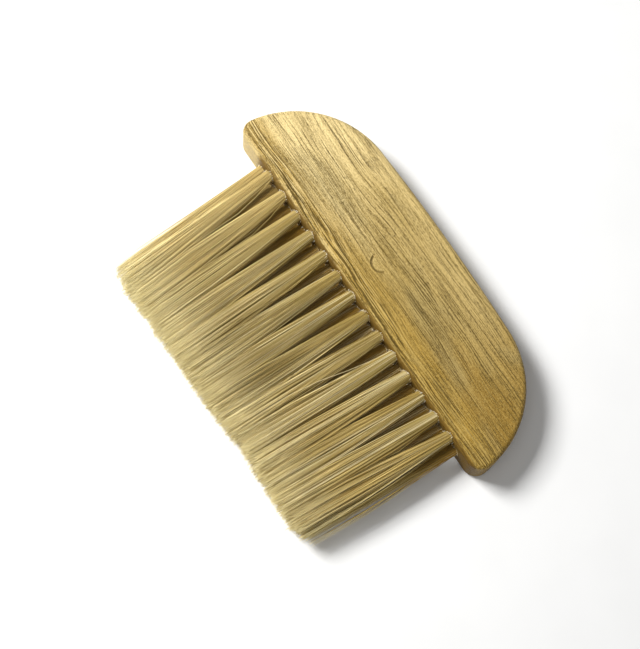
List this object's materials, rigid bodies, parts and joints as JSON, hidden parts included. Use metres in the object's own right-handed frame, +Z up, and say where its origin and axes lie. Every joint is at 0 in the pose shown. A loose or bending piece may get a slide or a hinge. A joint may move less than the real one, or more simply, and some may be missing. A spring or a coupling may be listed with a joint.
{
  "type": "neck duster brush",
  "caption": "Flat wooden neck duster brush: a crescent handle block with staggered rows of long soft tufts, for brushing cut hair off the neck and shoulders.",
  "frame": {"origin": "on the surface that the brush lies on, under the middle of the whole brush", "axes": "+X along the handle, +Y from the tuft tips towards the crown of the handle, +Z up through the handle's thickness"},
  "size_m": [0.145, 0.1012, 0.014],
  "materials": {
    "handle_wood": "satin",
    "soft_filament": "matte",
    "anchor_wire": "satin"
  },
  "bodies": {
    "root": {"anchors_back_row": "anchor_wire", "anchors_front_row": "anchor_wire", "anchors_middle_row": "anchor_wire", "handle_block": "handle_wood", "tuft_back_01": "soft_filament", "tuft_back_02": "soft_filament", "tuft_back_03": "soft_filament", "tuft_back_04": "soft_filament", "tuft_back_05": "soft_filament", "tuft_back_06": "soft_filament", "tuft_back_07": "soft_filament", "tuft_back_08": "soft_filament", "tuft_back_09": "soft_filament", "tuft_back_10": "soft_filament", "tuft_back_11": "soft_filament", "tuft_back_12": "soft_filament", "tuft_back_13": "soft_filament", "tuft_back_14": "soft_filament", "tuft_front_01": "soft_filament", "tuft_front_02": "soft_filament", "tuft_front_03": "soft_filament", "tuft_front_04": "soft_filament", "tuft_front_05": "soft_filament", "tuft_front_06": "soft_filament", "tuft_front_07": "soft_filament", "tuft_front_08": "soft_filament", "tuft_front_09": "soft_filament", "tuft_front_10": "soft_filament", "tuft_front_11": "soft_filament", "tuft_front_12": "soft_filament", "tuft_front_13": "soft_filament", "tuft_front_14": "soft_filament", "tuft_middle_01": "soft_filament", "tuft_middle_02": "soft_filament", "tuft_middle_03": "soft_filament", "tuft_middle_04": "soft_filament", "tuft_middle_05": "soft_filament", "tuft_middle_06": "soft_filament", "tuft_middle_07": "soft_filament", "tuft_middle_08": "soft_filament", "tuft_middle_09": "soft_filament", "tuft_middle_10": "soft_filament", "tuft_middle_11": "soft_filament", "tuft_middle_12": "soft_filament", "tuft_middle_13": "soft_filament", "tuft_middle_14": "soft_filament", "tuft_middle_15": "soft_filament"}
  },
  "joints": []
}
